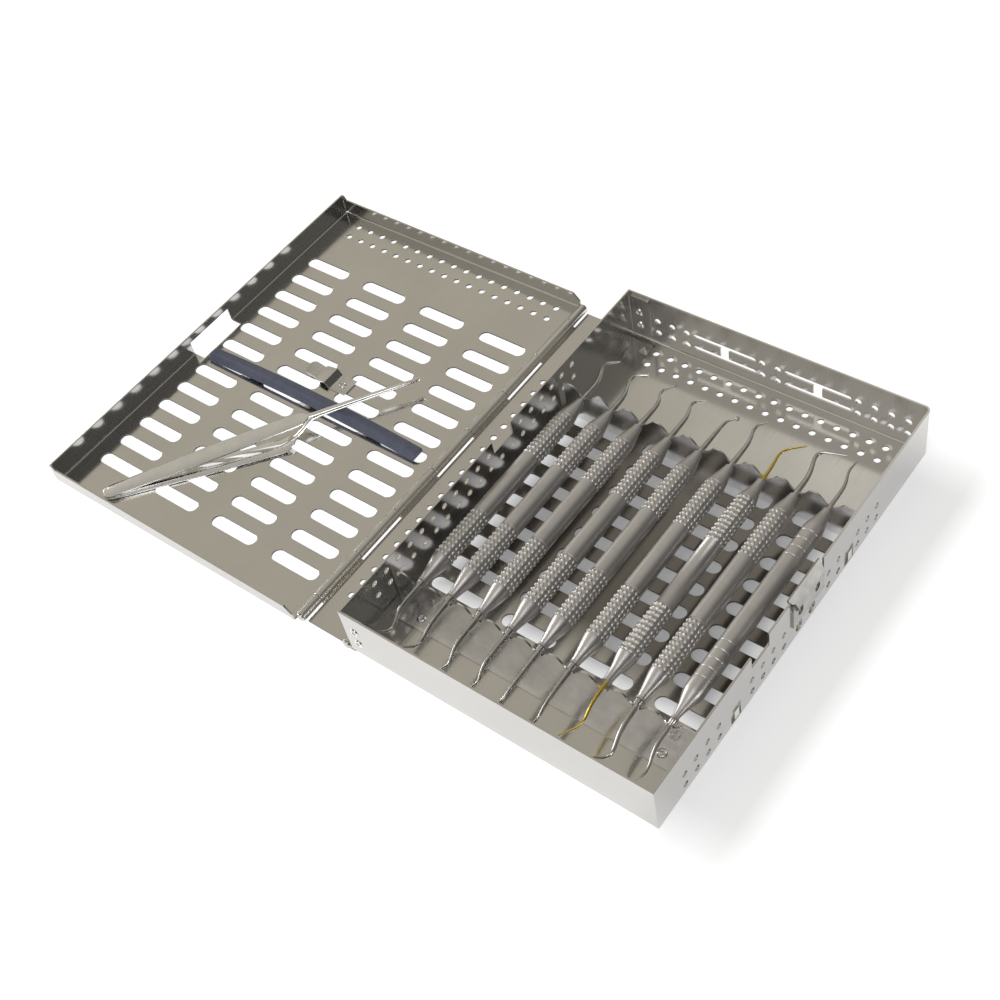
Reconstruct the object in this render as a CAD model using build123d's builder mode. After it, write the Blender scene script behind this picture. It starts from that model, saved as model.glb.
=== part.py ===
from build123d import *
from math import atan2, cos, degrees, hypot, radians, sin
import os

os.makedirs("parts", exist_ok=True)

# A fold-flat sterilising cassette of perforated sheet, lying open: a tray with
# nine double-ended dental instruments, a narrow spine, and a lid pan that holds
# a sprung silicone strip, a clip and a pair of dressing pliers.
# The origin is the middle of the tray's underside. +X is the latch side, the
# hinges and the open lid are on -X, +Y is the back and +Z is up.

# sheet metal
sheet = 0.8
bend = 1.6
hole_radius = 1.45
slot_length = 25.3
slot_width = 6.2
slot_pitch_x = 36.0

# tray
tray_width = 144.5
tray_length = 200.0
tray_height = 27.0
tray_x = tray_width / 2
tray_y = tray_length / 2

# hinges, both along Y
pin_radius = 1.5
pin_play = 0.05
knuckle_radius = 2.4
hinge_z = knuckle_radius
spine_width = 25.3
tray_hinge_x = -tray_x - knuckle_radius - 0.1
lid_hinge_x = tray_hinge_x - spine_width
knuckle_pitch = 25.5
knuckle_gap = 0.25
barrel_half = 100.0
leaf_gap = 0.35

# lid pan
lid_width = 147.2
lid_length = 204.3
lid_front_height = 9.0
lid_far_height = 11.2
lid_near_x = lid_hinge_x - knuckle_radius - leaf_gap
lid_far_x = lid_near_x - lid_width
strip_y = -8.2

# instruments
instrument_count = 9
instrument_pitch = 14.67
axis_z = 17.0
handle_front = -67.4
handle_back = 41.6
handle_radius = 4.2
neck_radius = 1.9
shank_radius = 1.25

# racks
rack_half = 69.5
rack_crest = 20.4
rack_valley = 15.4
rack_flange = 9.7
front_rack_y = -69.6
back_rack_y = 45.0
rack_rivet_x = 57.0

# play left between pieces that touch
seam = 0.05
thin_seam = 0.02

# rivets
rivet_radius = 1.15
rivet_hole = 1.2
rivet_head = 2.1
rivet_dome = 0.7


def save(piece, name):
    piece.part.label = name
    export_step(piece.part, f"parts/{name}.step")


def knuckle_spans(odd):
    """Y spans of the knuckles: odd ones are the first, third, fifth and so on."""
    cuts = [-barrel_half] + [(i - 3.5) * knuckle_pitch for i in range(8)] + [barrel_half]
    spans = list(zip(cuts[:-1], cuts[1:]))
    chosen = spans[0::2] if odd else spans[1::2]
    return [(low + knuckle_gap / 2, high - knuckle_gap / 2) for low, high in chosen]


def add_knuckles(axis_x, toward, odd):
    """Rolled knuckles on the part being built, each with its leaf running toward the plate."""
    reach = knuckle_radius + leaf_gap + 1.0
    for low, high in knuckle_spans(odd):
        with BuildSketch(Plane.XZ.offset(-low)) as curl:
            with Locations((axis_x, hinge_z)):
                Circle(knuckle_radius)
            with Locations((axis_x + toward * reach / 2, sheet / 2)):
                Rectangle(reach, sheet)
        extrude(curl.sketch, amount=-(high - low))
    with BuildSketch(Plane.XZ.offset(barrel_half + 5)) as bore:
        with Locations((axis_x, hinge_z)):
            Circle(pin_radius + pin_play)
    extrude(bore.sketch, amount=-2 * barrel_half - 10, mode=Mode.SUBTRACT)


def instrument_x(index):
    return (index - (instrument_count - 1) / 2) * instrument_pitch


def wall_hole_ys():
    """Y of the round holes in the hinge-side wall and the spine, from the front."""
    first, pitch, count = -80.1, 7.46, 19
    return [first + pitch * i for i in range(count)]


# ------------------------------------------------------------------ base tray
corner_radius = 2.6
tray_slots_at = (1.0, -6.4)
tray_row_pitch = 12.5
floor_holes_at = (0.8, 89.4)
floor_hole_pitch = 7.5
floor_hole_rows = 7.2

back_hole_first = -57.5
back_hole_pitch = 7.55
back_hole_zs = (14.4, 7.3)
cut_out_xs = (-23.4, 21.9)
cut_out_length = 31.1
cut_out_width = 2.2
cut_out_bridge = 4.2

corner_rivet_x = -66.7
corner_rivet_zs = (9.1, 16.8)
corner_rivet_spots = [(corner_rivet_x, z) for z in corner_rivet_zs]

latch_wall_hole_first = -81.9
latch_wall_hole_pitch = 7.5
latch_wall_hole_zs = (12.9, 5.6)
window_ys = (-48.3, 34.4)
window_z = 6.5
window_size = (6.6, 8.6)
oval_spots = ((-3.4, 5.8), (6.2, 5.8))
latch_gap_y = 2.7
latch_gap_width = 24.4
notch_y = -30.5
notch_width = 12.3

with BuildPart() as base_tray:
    with BuildSketch(Plane.XY) as footprint:
        Rectangle(tray_width, tray_length)
        fillet(footprint.vertices().group_by(Axis.Y)[-1].sort_by(Axis.X)[-1], corner_radius)
    extrude(amount=tray_height)
    under_edges = base_tray.edges().group_by(Axis.Z)[0].sort_by(Axis.X)[1:]
    fillet(under_edges, bend)
    open_faces = [
        base_tray.faces().sort_by(Axis.Z)[-1],
        base_tray.faces().sort_by(Axis.X)[0],
    ]
    offset(amount=-sheet, openings=open_faces)
    # floor slots and the two rows of round holes near the back wall
    with BuildSketch(Plane.XY):
        with Locations(tray_slots_at):
            with GridLocations(slot_pitch_x, tray_row_pitch, 4, 9):
                SlotOverall(slot_length, slot_width)
        with Locations(floor_holes_at):
            with GridLocations(floor_hole_pitch, floor_hole_rows, 16, 2):
                Circle(hole_radius)
        for rack_y in (front_rack_y - rack_flange / 2, back_rack_y + rack_flange / 2):
            with Locations((-rack_rivet_x, rack_y), (rack_rivet_x, rack_y)):
                Circle(rivet_hole)
    extrude(amount=sheet, mode=Mode.SUBTRACT)
    # back wall: two rows of holes around two I-shaped cut-outs, and the tab rivets
    with BuildSketch(Plane.XZ.offset(-tray_y - 1)):
        for i in (0, 1, 2, 7, 8, 13, 14, 15, 16):
            with Locations(*[(back_hole_first + back_hole_pitch * i, z) for z in back_hole_zs]):
                Circle(hole_radius)
        for middle in cut_out_xs:
            with Locations(*[(middle, z) for z in back_hole_zs]):
                SlotOverall(cut_out_length, cut_out_width)
            with Locations((middle, sum(back_hole_zs) / 2)):
                Rectangle(cut_out_bridge, back_hole_zs[0] - back_hole_zs[1])
        with Locations(*corner_rivet_spots):
            Circle(rivet_hole)
    extrude(amount=sheet + 2, mode=Mode.SUBTRACT)
    # front wall: only the tab rivets
    with BuildSketch(Plane.XZ.offset(tray_y + 1)):
        with Locations(*corner_rivet_spots):
            Circle(rivet_hole)
    extrude(amount=-sheet - 2, mode=Mode.SUBTRACT)
    # latch wall: holes, two windows, two ovals, the latch's gap and a finger notch
    with BuildSketch(Plane.YZ.offset(tray_x + 1)):
        for i in (0, 1, 2, 3, 6, 7, 8, 9, 13.4, 14.4, 16.4, 17.4, 18.4):
            y = latch_wall_hole_first + latch_wall_hole_pitch * i
            with Locations(*[(y, z) for z in latch_wall_hole_zs]):
                Circle(hole_radius)
        with Locations(*[(y, window_z) for y in window_ys]):
            Rectangle(*window_size)
        with Locations(*oval_spots):
            Ellipse(2.4, 3.0)
        with Locations((latch_gap_y, tray_height - 3)):
            Rectangle(latch_gap_width, 8.0)
        with Locations((notch_y, tray_height - 3)):
            Rectangle(notch_width, 7.6)
    extrude(amount=-sheet - 2, mode=Mode.SUBTRACT)
    add_knuckles(tray_hinge_x, 1, odd=True)
save(base_tray, "base_tray")

# ---------------------------------------------------------- hinge-side wall
tab_length = 11.6
tab_height = 22.0
tab_bottom = 3.4
wall_bottom = sheet + thin_seam
wall_half = tray_y - sheet - seam
wall_hole_zs = (14.3, 21.9)
wall_notch_y = 4.6
wall_notch_width = 13.0

with BuildPart() as hinge_side_wall:
    with BuildSketch(Plane.YZ.offset(-tray_x)) as panel:
        with Locations((0, (tray_height + wall_bottom) / 2)):
            Rectangle(2 * wall_half, tray_height - wall_bottom)
        chamfer(panel.vertices().group_by(Axis.Y)[0], 1.0)
    extrude(amount=sheet)
    for side in (-1, 1):
        with BuildSketch(Plane.XZ.offset(-side * wall_half)) as tab:
            with Locations((-tray_x + tab_length / 2, tab_bottom + tab_height / 2)):
                Rectangle(tab_length, tab_height)
            fillet(tab.vertices().group_by(Axis.X)[-1], 2.0)
        extrude(amount=side * sheet)
        with BuildSketch(Plane.XZ.offset(-side * tray_y)):
            with Locations(*corner_rivet_spots):
                Circle(rivet_hole)
        extrude(amount=side * 3 * sheet, mode=Mode.SUBTRACT)
    with BuildSketch(Plane.YZ.offset(-tray_x)):
        for y in wall_hole_ys():
            with Locations((y, wall_hole_zs[0])):
                Circle(hole_radius)
            if not -3 < y - wall_notch_y < 6:
                with Locations((y, wall_hole_zs[1])):
                    Circle(hole_radius)
        with Locations((wall_notch_y, tray_height - 2.7)):
            Rectangle(wall_notch_width, 8.0)
    extrude(amount=sheet, mode=Mode.SUBTRACT)
save(hinge_side_wall, "hinge_side_wall")

# ------------------------------------------------------------- corner rivets
with BuildPart() as corner_rivets:
    for side in (-1, 1):
        for z in corner_rivet_zs:
            with BuildSketch(Plane.XZ.offset(-side * (tray_y + 0.6))):
                with Locations((corner_rivet_x, z)):
                    Circle(rivet_radius)
            extrude(amount=side * (2 * sheet + 1.3))
            with BuildSketch(Plane.XZ.offset(-side * tray_y)):
                with Locations((corner_rivet_x, z)):
                    Circle(rivet_head)
            extrude(amount=-side * 0.6, taper=25)
            with BuildSketch(Plane.XZ.offset(-side * (tray_y - 2 * sheet - 0.05))):
                with Locations((corner_rivet_x, z)):
                    Circle(rivet_head)
            extrude(amount=side * rivet_dome, taper=25)
save(corner_rivets, "corner_rivets")

# --------------------------------------------------------------------- spine
spine_rows_x = (tray_hinge_x - 15.3, tray_hinge_x - 7.8)
spine_low_x = lid_hinge_x + knuckle_radius + leaf_gap
spine_high_x = tray_hinge_x - knuckle_radius - leaf_gap

with BuildPart() as spine:
    with BuildSketch(Plane.XY):
        with Locations(((spine_low_x + spine_high_x) / 2, 0)):
            Rectangle(spine_high_x - spine_low_x, 2 * (barrel_half - 0.8))
        with Locations(*[(x, y) for x in spine_rows_x for y in wall_hole_ys()]):
            Circle(hole_radius, mode=Mode.SUBTRACT)
    extrude(amount=sheet)
    add_knuckles(tray_hinge_x, -1, odd=False)
    add_knuckles(lid_hinge_x, 1, odd=False)
save(spine, "spine")

for pin_name, pin_x in (("tray_hinge_pin", tray_hinge_x), ("lid_hinge_pin", lid_hinge_x)):
    with BuildPart() as pin:
        with BuildSketch(Plane.XZ.offset(barrel_half + 0.1)):
            with Locations((pin_x, hinge_z)):
                Circle(pin_radius)
        extrude(amount=-2 * barrel_half - 0.2)
        for side in (-1, 1):
            with BuildSketch(Plane.XZ.offset(-side * (barrel_half + 0.1))):
                with Locations((pin_x, hinge_z)):
                    Circle(2.0)
            extrude(amount=-side * 0.5, taper=25)
    save(pin, pin_name)

# ----------------------------------------------------------------- lid pan
lid_middle_x = (lid_near_x + lid_far_x) / 2
lid_slot_x = lid_middle_x + 1.2
lid_first_row = 9.5
lid_row_pitch = 12.62
lid_rows = [strip_y + side * (lid_first_row + lid_row_pitch * i) for side in (-1, 1) for i in range(6)]
lid_rows.append(strip_y)
lid_holes_at = (lid_middle_x + 2.5, 91.4)
lid_hole_pitch = 7.68
lid_hole_rows = 7.6
catch_y = 1.2
catch_width = 26.0
catch_top = 7.7
clip_x = -170.5
clip_y = 7.6

with BuildPart() as lid_pan:
    with BuildSketch(Plane.XY):
        with Locations((lid_middle_x, 0)):
            Rectangle(lid_width, lid_length)
    extrude(amount=lid_far_height)
    fillet(lid_pan.edges().group_by(Axis.Z)[0].sort_by(Axis.X)[:-1], bend)
    lid_open_faces = [
        lid_pan.faces().sort_by(Axis.Z)[-1],
        lid_pan.faces().sort_by(Axis.X)[-1],
    ]
    offset(amount=-sheet, openings=lid_open_faces)
    # the front and back walls slope down toward the hinge and end in a chamfer
    with BuildSketch(Plane.XZ.offset(lid_length)):
        with BuildLine():
            Polyline(
                (lid_far_x + 1.2, lid_far_height + 1),
                (lid_far_x + 2.8, lid_front_height),
                (lid_near_x - 3.5, lid_front_height - 1.0),
                (lid_near_x + 1, 3.2),
                (lid_near_x + 1, lid_far_height + 1),
                close=True,
            )
        make_face()
    extrude(amount=-2 * lid_length, mode=Mode.SUBTRACT)
    # slots, the two rows of round holes near the back wall, strip and clip rivets
    with BuildSketch(Plane.XY):
        with Locations(*[(lid_slot_x + slot_pitch_x * (i - 1.5), y) for i in range(4) for y in lid_rows]):
            SlotOverall(slot_length, slot_width)
        with Locations(lid_holes_at):
            with GridLocations(lid_hole_pitch, lid_hole_rows, 17, 2):
                Circle(hole_radius)
        with Locations((clip_x, clip_y)):
            Circle(rivet_hole)
        # catch opening, plate part
        with Locations((lid_far_x + 3.6, catch_y)):
            Rectangle(7.4, catch_width)
    extrude(amount=sheet, mode=Mode.SUBTRACT)
    # catch opening, wall part
    with BuildSketch(Plane.YZ.offset(lid_far_x - 1)):
        with Locations((catch_y, catch_top - 3.9)):
            Rectangle(catch_width, 7.8)
    extrude(amount=bend + 1.1, mode=Mode.SUBTRACT)
    add_knuckles(lid_hinge_x, -1, odd=True)
save(lid_pan, "lid_pan")

# ---------------------------------------------------------------------- racks
def rack(name, upright_y, outward):
    """A folded rail: a flange riveted to the floor and an upright with a wavy top edge."""
    with BuildPart() as rail:
        with BuildSketch(Plane.XZ.offset(-upright_y + sheet / 2)) as wave:
            with BuildLine():
                Line((-rack_half, sheet), (rack_half, sheet))
                half = instrument_pitch / 2
                left = instrument_x(0)
                right = instrument_x(instrument_count - 1)
                Line((-rack_half, sheet), (-rack_half, rack_crest))
                Line((rack_half, sheet), (rack_half, rack_crest))
                Line((-rack_half, rack_crest), (left - half, rack_crest))
                Line((rack_half, rack_crest), (right + half, rack_crest))
                for index in range(instrument_count):
                    x = instrument_x(index)
                    for side in (-1, 1):
                        Bezier(
                            (x + side * half, rack_crest),
                            (x + side * half * 0.5, rack_crest),
                            (x + side * half * 0.45, rack_valley),
                            (x, rack_valley),
                        )
            make_face()
        extrude(amount=-sheet)
        with BuildSketch(Plane.XY.offset(sheet)):
            flange_y = upright_y + outward * rack_flange / 2
            with Locations((0, flange_y)):
                Rectangle(2 * rack_half, rack_flange)
            with Locations(*[(side * rack_rivet_x, flange_y) for side in (-1, 1)]):
                Circle(rivet_hole, mode=Mode.SUBTRACT)
        extrude(amount=sheet)
    save(rail, name)


rack("front_rack", front_rack_y, -1)
rack("back_rack", back_rack_y, 1)

with BuildPart() as rack_rivets:
    rivet_places = [
        (side * rack_rivet_x, y)
        for side in (-1, 1)
        for y in (front_rack_y - rack_flange / 2, back_rack_y + rack_flange / 2)
    ]
    with BuildSketch(Plane.XY.offset(0.05)):
        with Locations(*rivet_places):
            Circle(rivet_radius)
    extrude(amount=2 * sheet)
    with BuildSketch(Plane.XY.offset(2 * sheet + 0.02)):
        with Locations(*rivet_places):
            Circle(rivet_head)
    extrude(amount=rivet_dome, taper=25)
save(rack_rivets, "rack_rivets")

# ---------------------------------------------------------------------- latch
latch_y = latch_gap_y
latch_width = 22.6
latch_x = tray_x + seam
latch_bottom = 10.4
latch_knee = 20.9

# the nose reaches over the lip of the closed lid's catch opening
lid_closed_top = 30.1
nose_low = lid_closed_top - catch_top + 0.35
nose_reach = 2.4

with BuildPart() as latch_plate:
    with BuildSketch(Plane.XZ.offset(-latch_y + latch_width / 2)):
        with BuildLine():
            Polyline(
                (latch_x, latch_bottom),
                (latch_x + sheet, latch_bottom),
                (latch_x + sheet, latch_knee),
                (latch_x - 1.4, latch_knee + 6.0),
                (latch_x - 2.2, latch_knee + 5.7),
                (latch_x, latch_knee - 0.4),
                close=True,
            )
        make_face()
    extrude(amount=-latch_width)
    with BuildSketch(Plane.YZ.offset(latch_x - 1)):
        with Locations((latch_y - 6.1, 16.6), (latch_y + 6.1, 16.6)):
            SlotOverall(4.6, 3.4, rotation=90)
    extrude(amount=4, mode=Mode.SUBTRACT)
    # hook nose at the front end, which catches in the lid's opening
    with BuildSketch(Plane.XZ.offset(-latch_y + latch_width / 2)):
        with BuildLine():
            Polyline(
                (latch_x, latch_knee - 3),
                (latch_x + sheet, latch_knee - 3),
                (latch_x + sheet, nose_low),
                (latch_x + nose_reach, nose_low + 0.4),
                (latch_x + sheet, nose_low + 2.4),
                (latch_x - 0.7, latch_knee + 2.6),
                (latch_x, latch_knee - 0.2),
                close=True,
            )
        make_face()
    extrude(amount=-1.2)
save(latch_plate, "latch_plate")

spring_width = 5.0
inner_x = tray_x - sheet - seam

with BuildPart() as latch_spring:
    with BuildSketch(Plane.YZ.offset(inner_x - 0.5)):
        with Locations((sum(window_ys) / 2, window_z)):
            Rectangle(window_ys[1] - window_ys[0] + 5.9, spring_width)
        with Locations(*oval_spots):
            Circle(2.0, mode=Mode.SUBTRACT)
    extrude(amount=0.5)
    # ends folded out through the wall's windows
    for window_y in window_ys:
        with BuildSketch(Plane.YZ.offset(inner_x)):
            with Locations((window_y, window_z)):
                Rectangle(3.0, spring_width)
        extrude(amount=sheet + 0.5)
save(latch_spring, "latch_spring")

# ------------------------------------------------- retaining strip in the lid
strip_half = 63.3
strip_x = lid_middle_x + 0.7
strip_width = 7.0
strip_height = 3.3
strip_rise = 1.5
leaf_thickness = 0.5
leaf_z = sheet + seam


def arch_band(low_z, thickness, width, half):
    """A long band, arched upward in the middle, added to the part being built."""
    with BuildSketch(Plane.XZ.offset(-strip_y + width / 2)) as band:
        with BuildLine():
            lower = ThreePointArc(
                (strip_x - half, low_z), (strip_x, low_z + strip_rise), (strip_x + half, low_z)
            )
            upper = ThreePointArc(
                (strip_x - half, low_z + thickness),
                (strip_x, low_z + thickness + strip_rise),
                (strip_x + half, low_z + thickness),
            )
            Line(lower @ 0, upper @ 0)
            Line(lower @ 1, upper @ 1)
        make_face()
    extrude(band.sketch, amount=-width)


with BuildPart() as strip_leaf:
    arch_band(leaf_z, leaf_thickness, 4.6, strip_half - 1.0)
save(strip_leaf, "strip_leaf_spring")

with BuildPart() as retaining_strip:
    arch_band(leaf_z + leaf_thickness + thin_seam, strip_height, strip_width, strip_half)
    top_rims = retaining_strip.faces().sort_by(Axis.Z)[-1].edges().filter_by(GeomType.CIRCLE)
    chamfer(top_rims, 1.1)
save(retaining_strip, "retaining_strip")

# -------------------------------------------------------------------- clip
clip_width = 9.6

with BuildPart() as clip:
    with BuildSketch(Plane.XZ.offset(-clip_y + clip_width / 2)):
        with BuildLine():
            Polyline(
                (clip_x + 4.8, sheet),
                (clip_x - 4.6, sheet),
                (clip_x - 6.8, 3.6),
                (clip_x - 13.0, 2.4),
                (clip_x - 20.2, 3.8),
                (clip_x - 20.2, 4.4),
                (clip_x - 13.0, 3.0),
                (clip_x - 6.5, 4.3),
                (clip_x - 4.2, sheet + 0.6),
                (clip_x + 4.8, sheet + 0.6),
                close=True,
            )
        make_face()
    extrude(amount=-clip_width)
    with BuildSketch(Plane.XY) as clip_plan:
        with Locations((clip_x - 4.1, clip_y)):
            Rectangle(17.8, clip_width)
        with Locations((clip_x - 15.0, clip_y)):
            Rectangle(10.4, 7.6)
        fillet(clip_plan.vertices().group_by(Axis.X)[0], 2.6)
    extrude(amount=8, mode=Mode.INTERSECT)
    with BuildSketch(Plane.XY):
        with Locations((clip_x, clip_y)):
            Circle(rivet_hole)
    extrude(amount=3, mode=Mode.SUBTRACT)
save(clip, "clip")

with BuildPart() as clip_rivet:
    with BuildSketch(Plane.XY.offset(0.05)):
        with Locations((clip_x, clip_y)):
            Circle(rivet_radius)
    extrude(amount=sheet + 0.6)
    with BuildSketch(Plane.XY.offset(sheet + 0.62)):
        with Locations((clip_x, clip_y)):
            Circle(1.9)
    extrude(amount=0.6, taper=25)
save(clip_rivet, "clip_rivet")

# ------------------------------------------------------------ dressing pliers
# The upper arm runs straight. The lower arm is splayed toward the front, and
# its beak comes back under the other one. Both are pressed flat enough for the
# lid to close over them.
pliers_end = (-222.5, -97.5)
pliers_tip = (-136.2, 24.4)
pliers_run = (pliers_tip[0] - pliers_end[0], pliers_tip[1] - pliers_end[1])
pliers_length = hypot(*pliers_run)
pliers_turn = degrees(atan2(pliers_run[1], pliers_run[0]))
pliers_side = Plane(
    origin=(pliers_end[0], pliers_end[1], 0),
    x_dir=(cos(radians(pliers_turn)), sin(radians(pliers_turn)), 0),
    z_dir=(sin(radians(pliers_turn)), -cos(radians(pliers_turn)), 0),
)
pliers_plan = Plane(
    origin=(pliers_end[0], pliers_end[1], 0),
    x_dir=(cos(radians(pliers_turn)), sin(radians(pliers_turn)), 0),
    z_dir=(0, 0, 1),
)
arm_thickness = 1.0
beak_bottom = 6.45
beak_thickness = 0.85
splay = 7.1


def arm(name, shoulder, aside, low):
    """One arm: a broad grip, a shoulder and a narrow beak, bent out of one strip."""
    thick = [arm_thickness, arm_thickness, beak_thickness, beak_thickness - 0.1]
    outline = low + [(s, z + t) for (s, z), t in reversed(list(zip(low, thick)))]
    widths = [
        (0, 0, 2.6),
        (2.5, 0, 3.6),
        (shoulder * 0.55, aside * 0.55, 4.6),
        (shoulder - 2, aside, 4.1),
        (shoulder, aside, 3.3),
        (shoulder + 2, aside * 0.85, 1.3),
        (shoulder + 11.6, aside * 0.12, 1.2),
        (pliers_length, 0, 0.8),
    ]
    plan = [(s, -middle - half) for s, middle, half in widths]
    plan += [(s, -middle + half) for s, middle, half in reversed(widths)]
    with BuildPart() as strip:
        with BuildSketch(pliers_side.offset(-14)):
            with BuildLine():
                Polyline(*outline, close=True)
            make_face()
        extrude(amount=28)
        with BuildSketch(pliers_plan):
            with BuildLine():
                Polyline(*plan, close=True)
            make_face()
        extrude(amount=20, mode=Mode.INTERSECT)
    save(strip, name)


lower_low = [(0, 1.1), (81.4, 1.1), (99.0, beak_bottom), (pliers_length, beak_bottom)]
upper_low = [(0, 2.3), (94.4, 7.1), (102.4, beak_bottom + 1.0), (pliers_length, beak_bottom + 0.95)]
arm("pliers_lower_arm", 86.4, splay, lower_low)
arm("pliers_upper_arm", 94.4, 0, upper_low)

# ---------------------------------------------------------------- instruments
# Handle outline as (distance from the front end, radius).
handle_length = handle_back - handle_front
full_grip = [
    (0, 0), (0, 2.2), (1.0, 2.2), (1.2, neck_radius), (4.0, 2.1), (9.5, 3.6), (13.0, 4.0),
    (14.0, handle_radius), (handle_length - 12.5, handle_radius), (handle_length - 10.0, 3.7),
    (handle_length - 5.0, 2.5), (handle_length, neck_radius), (handle_length, 0),
]

# Working ends. Each point is (sideways, along, up) from the handle's end, in
# millimetres: along runs away from the handle. Each end has a shank that
# tapers to its last point.
front_ends = [
    [(0, 14.5, 0), (4.0, 23.8, -1.0), (-2.4, 27.4, -1.6)],
    [(0.4, 12.8, 0), (2.8, 23.8, -0.8), (-2.8, 27.6, -1.0)],
    [(0.3, 16.5, 0), (3.4, 24.0, -0.5), (1.2, 27.6, -1.5)],
    [(0.2, 17.8, 0), (3.2, 24.8, -0.5), (1.0, 27.8, -1.4)],
    [(0.5, 18.5, 0), (0.6, 26.0, -0.4), (-0.2, 27.8, -1.6)],
    [(0.7, 18.5, 0), (1.8, 24.5, -0.4), (1.2, 27.8, -1.6)],
    [(0.4, 10.0, 0), (2.6, 19.0, -0.5), (-2.7, 26.8, -1.2)],
    [(0.8, 13.3, 0), (4.0, 24.6, -0.8), (-3.4, 28.2, -1.2)],
    [(0.3, 12.8, 0), (3.3, 22.0, -0.6), (2.2, 27.8, 0.8)],
]
back_ends = [
    [(0.2, 13.4, 0), (-3.8, 22.4, 0.6), (2.8, 26.6, 1.2)],
    [(0, 12.2, 0), (-3.8, 22.8, 0.6), (2.8, 25.8, 1.2)],
    [(0.4, 15.6, 0), (-2.8, 21.4, 0.4), (1.6, 26.0, 1.4)],
    [(0, 15.6, 0), (-2.6, 22.3, 0.5), (2.8, 25.3, 1.2)],
    [(0.4, 19.0, 0), (1.8, 21.4, 0.4), (4.2, 23.2, 0.8)],
    [(0, 15.6, 0), (-2.3, 23.4, 0.5), (1.5, 27.4, 1.4)],
    [(-0.3, 9.0, 0), (-1.4, 17.6, 0.4), (6.9, 23.8, 1.2)],
    [(0, 12.2, 0), (-3.4, 23.9, 0.8), (8.4, 27.0, 1.6)],
    [(-0.1, 14.5, 0), (-2.6, 21.2, 0.5), (-1.6, 27.0, 1.2)],
]
end_radii = (shank_radius, 1.0, 0.7, 0.32)
end_gap = 0.06


def working_end(name, x, start_y, direction, points):
    """A shank of tapering straight runs joined by ball bends."""
    route = [(x, start_y + direction * end_gap, axis_z)]
    route += [(x + side, start_y + direction * along, axis_z + up) for side, along, up in points]
    with BuildPart() as end:
        for start, stop, r_start, r_stop in zip(route, route[1:], end_radii, end_radii[1:]):
            run = Vector(*stop) - Vector(*start)
            with BuildSketch(Plane(origin=start, z_dir=run)):
                Circle(r_start)
            with BuildSketch(Plane(origin=stop, z_dir=run)):
                Circle(r_stop)
            loft()
        for place, radius in zip(route[1:], end_radii[1:]):
            with Locations(place):
                Sphere(radius)
    save(end, name)


for index in range(instrument_count):
    label = f"instrument_{index + 1}"
    x = instrument_x(index)
    with BuildPart() as handle:
        with BuildSketch(Plane(origin=(x, handle_front, axis_z), x_dir=(0, 1, 0), z_dir=(1, 0, 0))):
            with BuildLine():
                Polyline(*full_grip, close=True)
            make_face()
        revolve(axis=Axis((x, 0, axis_z), (0, 1, 0)))
    save(handle, f"{label}_handle")
    working_end(f"{label}_front_end", x, handle_front, -1, front_ends[index])
    working_end(f"{label}_back_end", x, handle_back, 1, back_ends[index])
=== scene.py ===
# %% [markdown]
# # A fold-flat instrument cassette, dressed for its portrait
#
# The cassette is folded from perforated stainless sheet. It lies open: a deep tray with nine
# double-ended scalers on the right, a narrow spine, and a shallow lid on the left that holds a
# silicone strip, a spring clip and a pair of dressing pliers. The sheet parts arrive finished from
# the CAD frame, so this lesson spends its effort on the finishes and on the pieces whose beauty is
# in small rounded forms: beaded handles, bent shanks, pliers, the strip and the rivets.

# %% Load the frame
import math

import bmesh
import bpy
from mathutils import Matrix, Vector


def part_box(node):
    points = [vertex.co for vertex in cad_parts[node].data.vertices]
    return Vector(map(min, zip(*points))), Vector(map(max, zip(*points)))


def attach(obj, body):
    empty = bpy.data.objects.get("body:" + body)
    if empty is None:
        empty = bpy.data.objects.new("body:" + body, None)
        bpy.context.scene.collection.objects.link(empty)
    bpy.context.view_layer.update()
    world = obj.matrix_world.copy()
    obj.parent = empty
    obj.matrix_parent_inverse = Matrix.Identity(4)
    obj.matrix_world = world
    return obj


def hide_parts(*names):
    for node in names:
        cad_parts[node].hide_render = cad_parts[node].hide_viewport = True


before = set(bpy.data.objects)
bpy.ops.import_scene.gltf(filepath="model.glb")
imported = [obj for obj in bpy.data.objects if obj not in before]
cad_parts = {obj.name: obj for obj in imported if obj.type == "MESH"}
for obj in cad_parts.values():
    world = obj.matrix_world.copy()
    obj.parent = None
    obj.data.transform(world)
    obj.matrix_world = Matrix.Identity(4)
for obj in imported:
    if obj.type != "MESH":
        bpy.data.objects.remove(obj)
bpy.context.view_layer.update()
scene = bpy.context.scene
MM = 0.001
sheet = 0.8 * MM

# %% [markdown]
# ## Camera
#
# A flat object shows itself best from above one corner. The camera is placed by the point it looks
# at, its azimuth, its elevation, its distance and a small roll, because those five are what one
# changes when framing a portrait. A long lens keeps the walls nearly parallel.

# %% Camera
look_at = Vector((-67.0, -9.16, 0.0)) * MM
azimuth, elevation, roll = (math.radians(a) for a in (47.67, 50.24, -13.78))
distance = 633.7 * MM

away = Vector((
    math.sin(azimuth) * math.cos(elevation),
    -math.cos(azimuth) * math.cos(elevation),
    math.sin(elevation),
))
camera = bpy.data.objects.new("camera", bpy.data.cameras.new("camera"))
scene.collection.objects.link(camera)
camera.data.lens = 54.17
camera.data.sensor_width = 36.0
camera.location = look_at + away * distance
level = (-away).to_track_quat("-Z", "Y").to_matrix().to_4x4()
camera.rotation_euler = (level @ Matrix.Rotation(roll, 4, "Z")).to_euler()
scene.camera = camera
print("camera stands at", [round(x, 3) for x in camera.location])

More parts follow.
